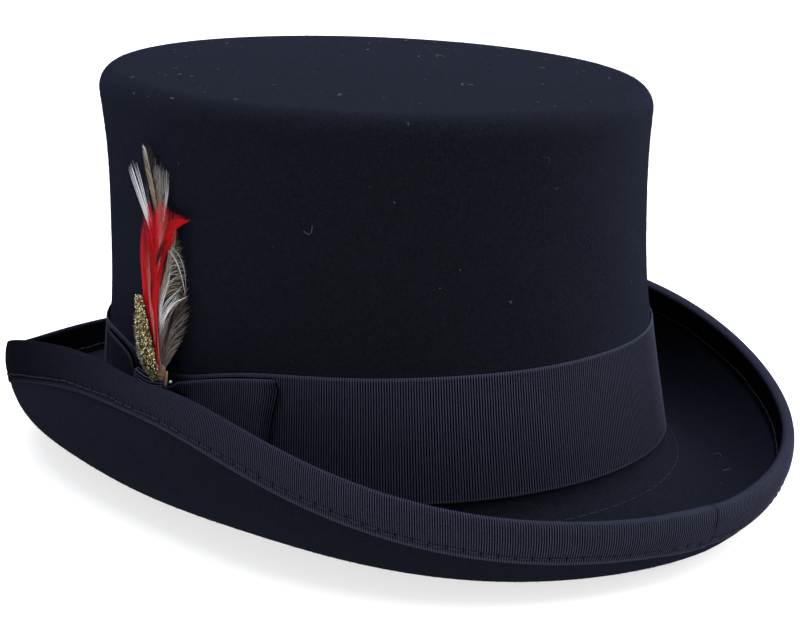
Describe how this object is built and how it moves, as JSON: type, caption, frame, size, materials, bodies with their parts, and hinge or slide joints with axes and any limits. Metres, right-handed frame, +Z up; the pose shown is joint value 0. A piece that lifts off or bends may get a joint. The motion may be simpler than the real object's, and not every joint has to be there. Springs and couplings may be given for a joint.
{
  "type": "top hat",
  "caption": "Oval felt top hat: drawn-in crown, upcurled ribbon-bound brim, hatband with flat bow, pull-out feather spray, leather sweatband and satin lining.",
  "frame": {"origin": "centre of the footprint, on the plane that the front and back dips of the brim rest on", "axes": "+Z up through the crown, -Y to the front of the hat, +X to the wearer's left, the side with the bow and feathers"},
  "size_m": [0.208, 0.301, 0.134],
  "materials": {
    "wool_felt": "matte navy wool felt with a short nap",
    "grosgrain": "ribbed navy-black grosgrain ribbon",
    "sweatband_leather": "smooth dark leather, semi-matte",
    "lining_satin": "dark satin",
    "reed_plastic": "flexible plastic reed",
    "feather_white": "white hackle with brown tips",
    "feather_tan": "tan feather with a dark tip",
    "feather_brown": "mottled brown downy feather",
    "feather_red": "dyed bright red feather",
    "gold_glitter": "gold glitter on a trimmed feather",
    "quill": "dry horn",
    "thread_wrap": "glued brown thread"
  },
  "bodies": {
    "hat": {"felt_body": "wool_felt", "hatband": "grosgrain", "bow_loop": "grosgrain", "bow_knot": "grosgrain", "brim_binding": "grosgrain", "sweatband": "sweatband_leather", "sweatband_reed": "reed_plastic", "sweatband_bow": "lining_satin", "lining_side": "lining_satin", "lining_tip": "lining_satin"},
    "feather_spray": {"white_hackle_front": "feather_white", "white_hackle_rear": "feather_white", "tan_feather": "feather_tan", "partridge_feather": "feather_brown", "cream_hackle": "feather_white", "red_feather": "feather_red", "gold_leaf": "gold_glitter", "red_tip_feather": "feather_red", "feather_stem": "quill", "feather_wrap": "thread_wrap"}
  },
  "joints": [
    {"name": "feather_pull", "type": "slide", "parent": "hat", "child": "feather_spray", "axis": [0, 0, 1], "range_m": [0, 0.03]}
  ]
}
